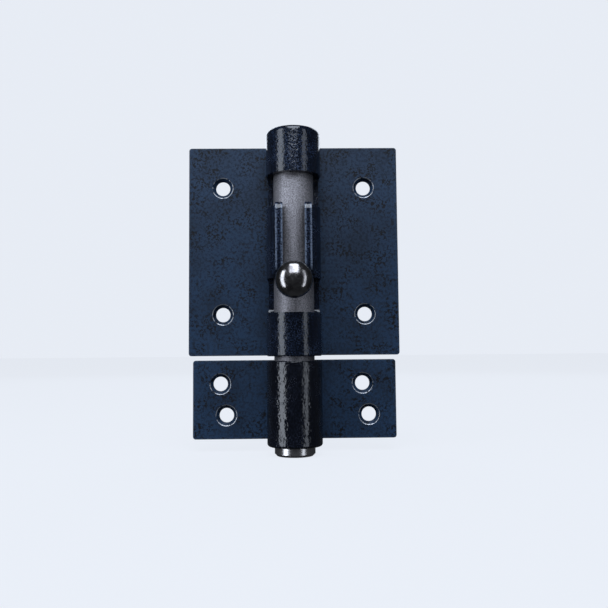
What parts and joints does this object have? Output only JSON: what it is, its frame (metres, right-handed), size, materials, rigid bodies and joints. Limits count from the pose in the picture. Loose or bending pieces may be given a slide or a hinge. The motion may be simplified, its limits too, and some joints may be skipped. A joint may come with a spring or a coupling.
{
  "type": "padlock barrel bolt",
  "caption": "Surface barrel bolt with a sliding round rod, a turning knob handle, two padlock ears and a separate tube keeper.",
  "frame": {"origin": "centre of the body plate's back face, which lies on the door", "axes": "+Z along the bolt, away from the keeper; -Y out from the door; +X to the right seen from the front"},
  "size_m": [0.0762, 0.0472, 0.1133],
  "materials": {
    "powder_coat": "matte black powder coat",
    "gloss_coat": "black coat with a low gloss and fine orange peel",
    "gunmetal": "satin gunmetal plating",
    "black_nickel": "polished black nickel",
    "spring_steel": "plain spring steel"
  },
  "bodies": {
    "body": {"body_plate": "powder_coat", "barrel_tube": "gloss_coat", "padlock_ear_left": "gloss_coat", "padlock_ear_right": "gloss_coat", "barrel_weld_left": "gloss_coat", "barrel_weld_right": "gloss_coat", "ear_weld_left": "gloss_coat", "ear_weld_right": "gloss_coat", "keeper_plate": "powder_coat", "keeper_tube": "gloss_coat", "keeper_weld_left": "gloss_coat", "keeper_weld_right": "gloss_coat"},
    "friction_ring": {"friction_ring": "spring_steel"},
    "bolt": {"bolt_rod": "gunmetal", "handle_pin": "black_nickel", "handle_collar": "black_nickel", "handle_knob": "black_nickel"}
  },
  "joints": [
    {"name": "bolt_slide", "type": "slide", "parent": "body", "child": "friction_ring", "axis": [0, 0, 1], "range_m": [-0.0055, 0.0364]},
    {"name": "bolt_turn", "type": "hinge", "parent": "friction_ring", "child": "bolt", "pos_m": [0, -0.01155, 0], "axis": [0, 0, 1], "range_deg": [-90, 90]}
  ]
}
